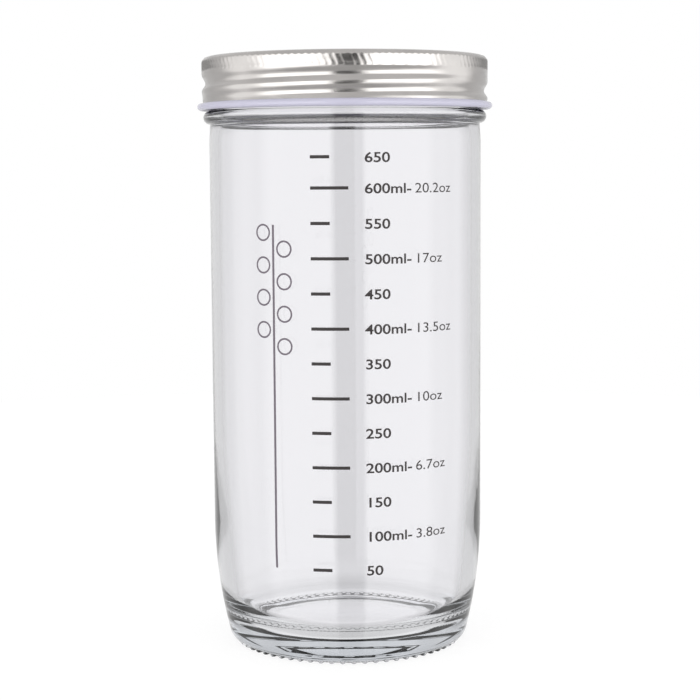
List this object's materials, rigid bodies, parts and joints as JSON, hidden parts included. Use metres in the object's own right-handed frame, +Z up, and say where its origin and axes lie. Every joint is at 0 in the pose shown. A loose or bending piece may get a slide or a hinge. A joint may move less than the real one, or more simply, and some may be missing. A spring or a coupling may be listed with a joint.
{
  "type": "glass storage jar with screw band",
  "caption": "Tall straight-sided wide-mouth glass jar with a flat sealing lid and a knurled steel screw band, for keeping a sourdough starter.",
  "frame": {"origin": "centre of the base, on the surface that the jar stands on", "axes": "+Z up along the jar's axis, towards the mouth; -Y is the front, where the printed scale is"},
  "size_m": [0.092, 0.092, 0.184],
  "materials": {
    "glass": "gloss",
    "lid_steel": "satin",
    "gasket": "matte",
    "band_steel": "satin"
  },
  "bodies": {
    "jar": {"glass_jar": "glass"},
    "lid": {"lid_disc": "lid_steel", "lid_gasket": "gasket"},
    "band": {"screw_band": "band_steel"}
  },
  "joints": [
    {"name": "lid_rise", "type": "slide", "parent": "jar", "child": "lid", "axis": [0, 0, 1], "range_m": [0, 0.01524]},
    {"name": "band_turn", "type": "hinge", "parent": "lid", "child": "band", "pos_m": [0, 0, 0.1755], "axis": [0, 0, 1], "range_deg": [0, 1080]}
  ],
  "couplings": [
    {"joint": "lid_rise", "follows": "band_turn", "m_per_rad": 0.00080851}
  ]
}
